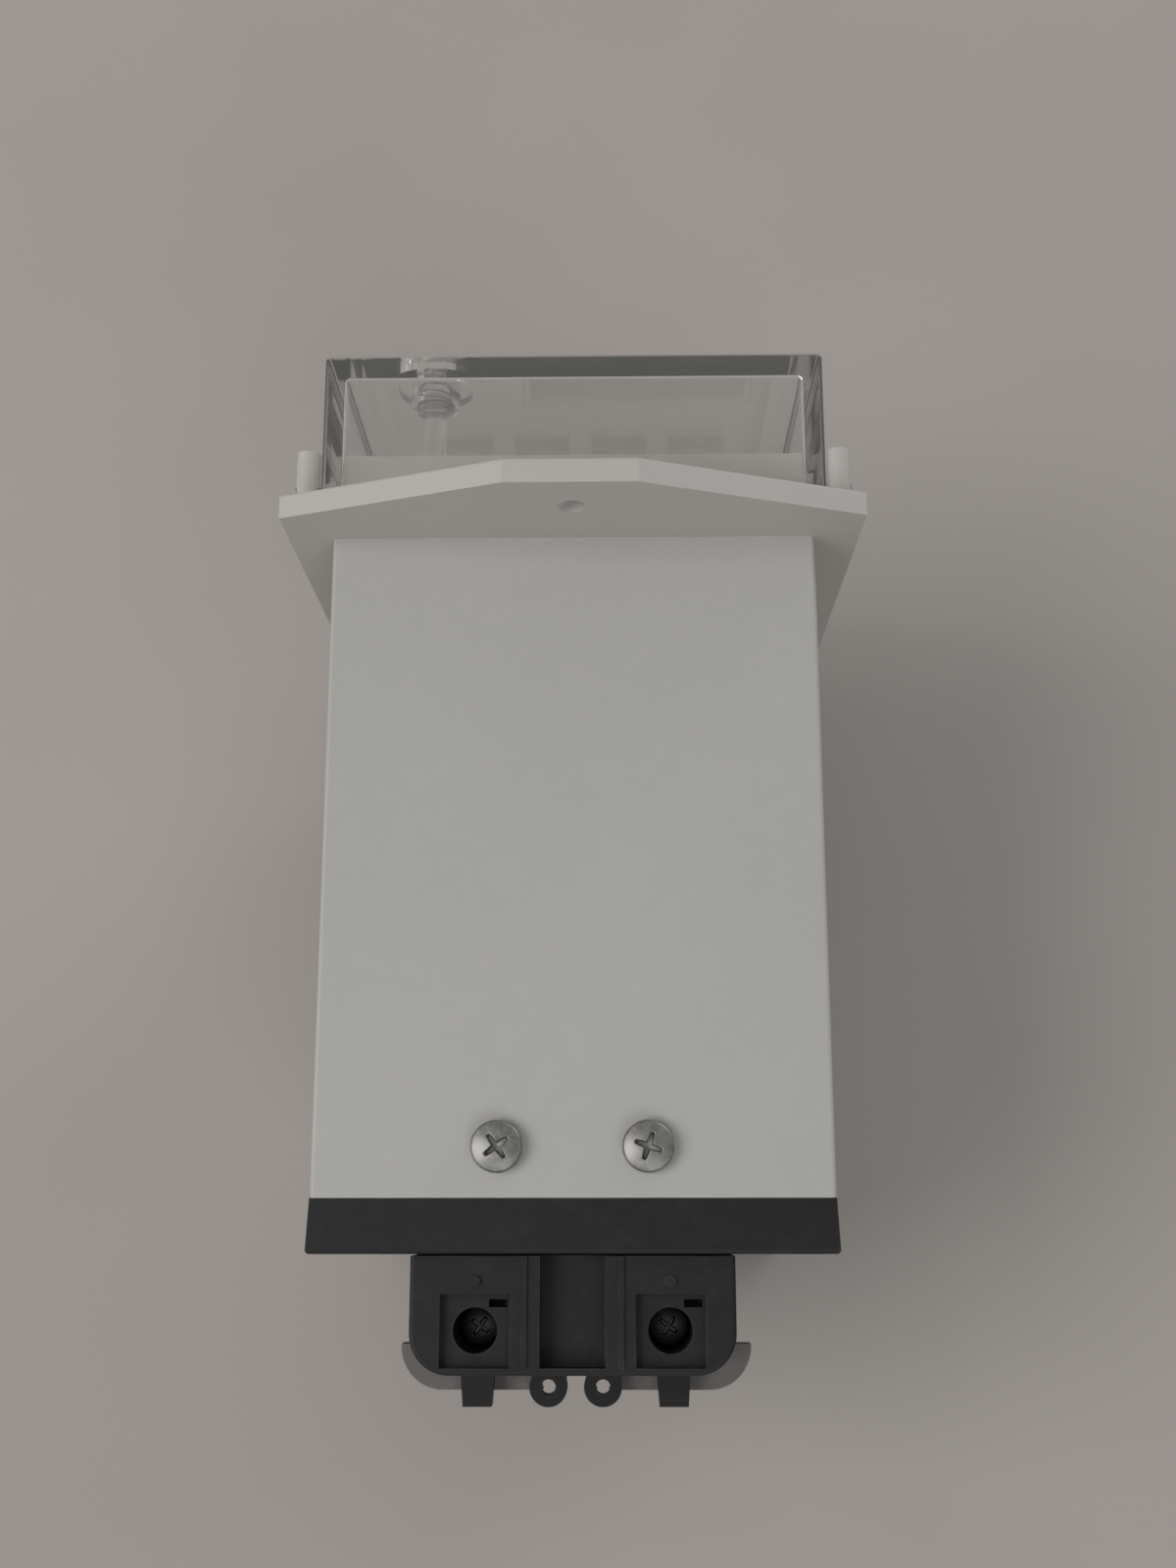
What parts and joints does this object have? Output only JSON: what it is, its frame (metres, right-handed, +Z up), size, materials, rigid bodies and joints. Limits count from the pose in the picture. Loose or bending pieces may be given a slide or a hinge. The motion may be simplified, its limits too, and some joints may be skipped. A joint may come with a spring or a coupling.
{
  "type": "panel-mounted plug-in meter",
  "caption": "Flush-mounting plug-in meter module: light-grey case and humped flange, clear flip-up front cover, black rear plate with a D-shaped terminal plug.",
  "frame": {"origin": "middle of the flange rear face, halfway between the two panel holes", "axes": "+Y runs backwards through the panel into the case, +Z up, +X to the right seen from the front"},
  "size_m": [0.096, 0.1766, 0.144],
  "materials": {
    "case_grey": "light grey moulded plastic, fine matt texture",
    "clear_cover": "clear polycarbonate, polished",
    "clear_rod": "clear acrylic, polished",
    "black_plastic": "black moulded plastic, fine matt texture",
    "spring_steel": "bright spring wire",
    "button_red": "moulded plastic",
    "face_grey": "printed front plate, matt",
    "window_smoke": "smoked acrylic, polished",
    "display_module": "liquid crystal module with a steel bezel",
    "lens_clear": "clear light pipe",
    "led_body": "moulded epoxy",
    "key_rubber": "dark grey silicone, matt",
    "circuit_board": "glass-fibre board with green resist",
    "plated_brass": "tinned brass",
    "relay_case": "moulded case",
    "chip_black": "moulded epoxy",
    "zinc_screw": "dull zinc plate",
    "core_iron": "varnished laminations",
    "coil_tape": "polyester tape over enamelled copper",
    "capacitor_sleeve": "shrunk sleeve over aluminium",
    "connector_white": "moulded nylon",
    "ribbon_grey": "flat cable",
    "label_film": "printed polyester film",
    "plug_black": "black moulded plastic, fine matt texture",
    "plug_grey": "mid grey moulded plastic"
  },
  "bodies": {
    "housing": {"case_tube": "case_grey", "front_frame": "case_grey", "cover_hinge_posts": "case_grey", "front_plate": "face_grey", "display_window": "window_smoke", "display_module": "display_module", "indicator_lenses": "lens_clear", "indicator_leds": "led_body", "key_switches": "black_plastic", "front_board": "circuit_board", "board_standoffs": "plated_brass", "board_rails": "black_plastic", "main_board": "circuit_board", "power_board": "circuit_board", "output_relays": "relay_case", "board_chips": "chip_black", "clock_battery": "zinc_screw", "transformer_core": "core_iron", "transformer_coil": "coil_tape", "filter_capacitors": "capacitor_sleeve", "measuring_transformers": "relay_case", "board_connectors": "connector_white", "ribbon_cable": "ribbon_grey", "rear_plate": "black_plastic", "rating_label": "label_film", "plug_socket": "black_plastic", "socket_contacts": "plated_brass", "case_screws": "zinc_screw", "front_board_screws": "zinc_screw", "earth_washer": "zinc_screw", "earth_screw": "zinc_screw"},
    "cover": {"clear_cover": "clear_cover", "push_rod_spring": "spring_steel"},
    "push_rod": {"push_rod": "clear_rod", "push_rod_clip": "clear_rod"},
    "reset_button": {"reset_button": "button_red"},
    "key_back": {"key_back": "key_rubber"},
    "key_down": {"key_down": "key_rubber"},
    "key_up": {"key_up": "key_rubber"},
    "key_enter": {"key_enter": "key_rubber"},
    "terminal_plug": {"plug_upper_shell": "plug_black", "plug_lower_shell": "plug_grey", "terminal_clamps": "plated_brass", "plug_blades": "plated_brass", "terminal_screws": "zinc_screw"}
  },
  "joints": [
    {"name": "cover_swing", "type": "hinge", "parent": "housing", "child": "cover", "pos_m": [0, -0.0072, 0.0514], "axis": [-1, 0, 0], "range_deg": [0, 92]},
    {"name": "push_rod_press", "type": "slide", "parent": "cover", "child": "push_rod", "axis": [0, 1, 0], "range_m": [0, 0.0015], "stiffness_N_per_m": 600, "springref_m": -0.002, "deforming": ["push_rod_spring"]},
    {"name": "reset_button_press", "type": "slide", "parent": "housing", "child": "reset_button", "axis": [0, 1, 0], "range_m": [0, 0.0015], "stiffness_N_per_m": 400, "springref_m": -0.001},
    {"name": "key_back_press", "type": "slide", "parent": "housing", "child": "key_back", "axis": [0, 1, 0], "range_m": [0, 0.0008], "stiffness_N_per_m": 500, "springref_m": -0.001},
    {"name": "key_down_press", "type": "slide", "parent": "housing", "child": "key_down", "axis": [0, 1, 0], "range_m": [0, 0.0008], "stiffness_N_per_m": 500, "springref_m": -0.001},
    {"name": "key_up_press", "type": "slide", "parent": "housing", "child": "key_up", "axis": [0, 1, 0], "range_m": [0, 0.0008], "stiffness_N_per_m": 500, "springref_m": -0.001},
    {"name": "key_enter_press", "type": "slide", "parent": "housing", "child": "key_enter", "axis": [0, 1, 0], "range_m": [0, 0.0008], "stiffness_N_per_m": 500, "springref_m": -0.001},
    {"name": "plug_withdraw", "type": "slide", "parent": "housing", "child": "terminal_plug", "axis": [0, 1, 0], "range_m": [0, 0.02]}
  ],
  "couplings": [
    {"joint": "reset_button_press", "follows": "push_rod_press", "ratio": 1}
  ]
}
